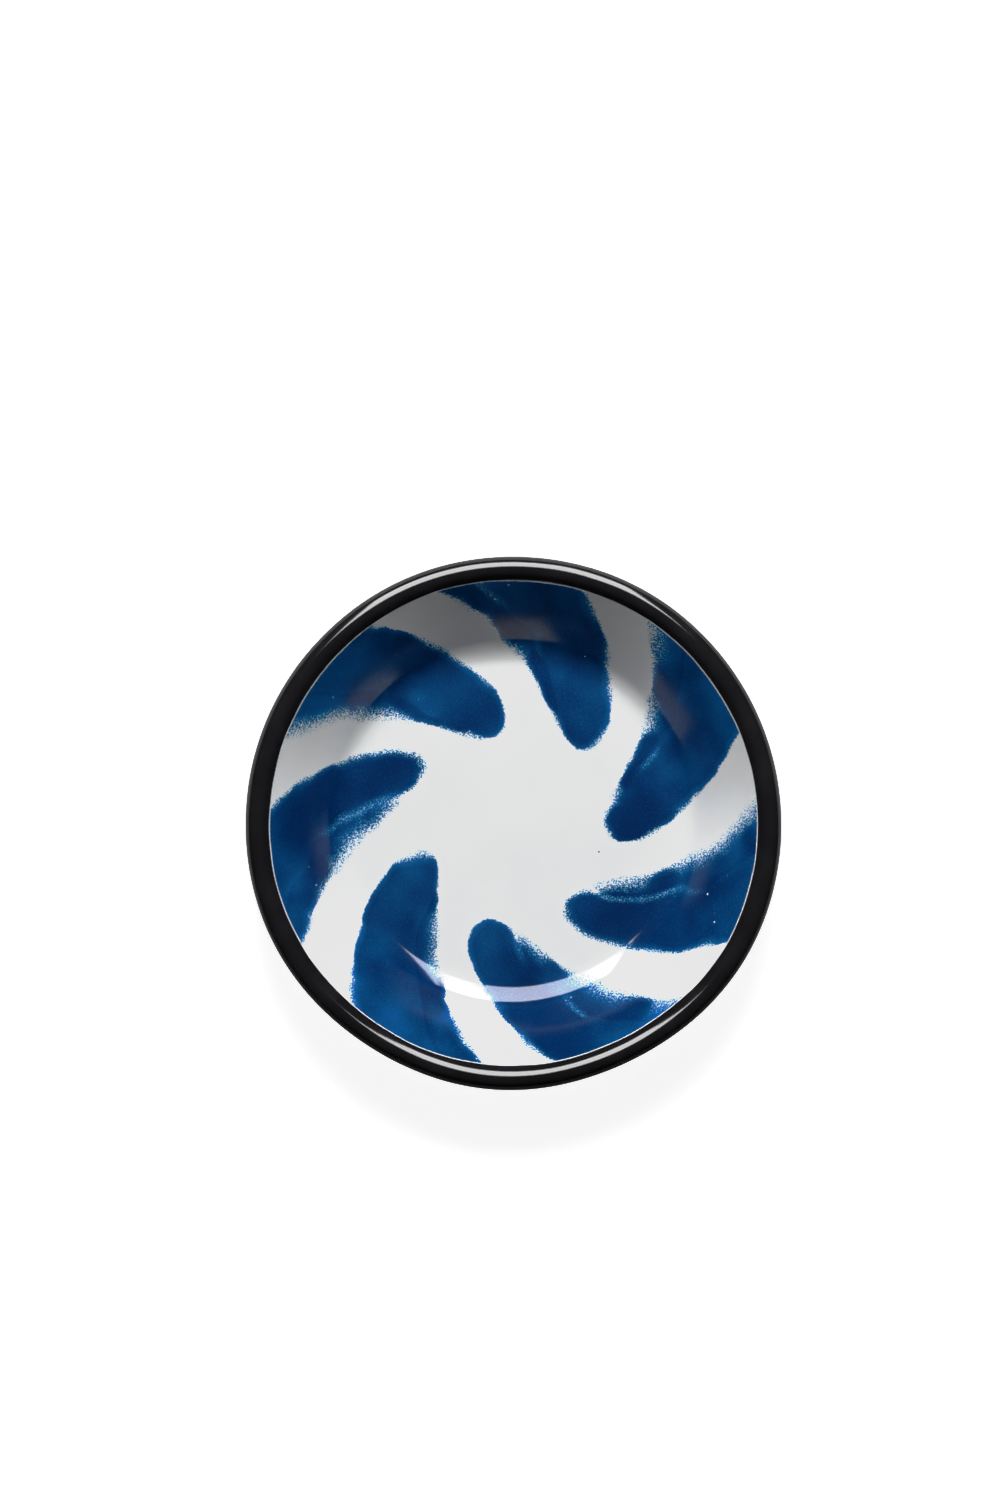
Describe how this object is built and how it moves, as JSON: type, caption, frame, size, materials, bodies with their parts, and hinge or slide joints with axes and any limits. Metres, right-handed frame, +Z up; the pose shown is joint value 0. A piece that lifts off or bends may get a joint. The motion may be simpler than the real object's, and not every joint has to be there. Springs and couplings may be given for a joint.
{
  "type": "soy sauce dish",
  "caption": "Small round enamelled steel sauce dish with a flat floor, sloped wall, black rolled rim and blue swirl strokes on white.",
  "frame": {"origin": "middle of the base, on the surface that the dish stands on", "axes": "+Z up along the dish's axis of revolution, out of the food side; X and Y are level, and any turn about Z serves"},
  "size_m": [0.1, 0.1, 0.0146],
  "materials": {
    "sheet_steel": "pickled sheet",
    "ground_enamel": "fired, semi-gloss",
    "white_enamel": "fired, glossy",
    "black_enamel": "fired, glossy",
    "blue_enamel": "brushed on, fired, glossy"
  },
  "bodies": {
    "root": {"steel_shell": "sheet_steel", "inner_ground_coat": "ground_enamel", "outer_ground_coat": "ground_enamel", "inner_white_enamel": "white_enamel", "outer_white_enamel": "white_enamel", "black_rim_enamel": "black_enamel", "blue_stroke_1": "blue_enamel", "blue_stroke_2": "blue_enamel", "blue_stroke_3": "blue_enamel", "blue_stroke_4": "blue_enamel", "blue_stroke_5": "blue_enamel", "blue_stroke_6": "blue_enamel", "blue_stroke_7": "blue_enamel"}
  },
  "joints": []
}
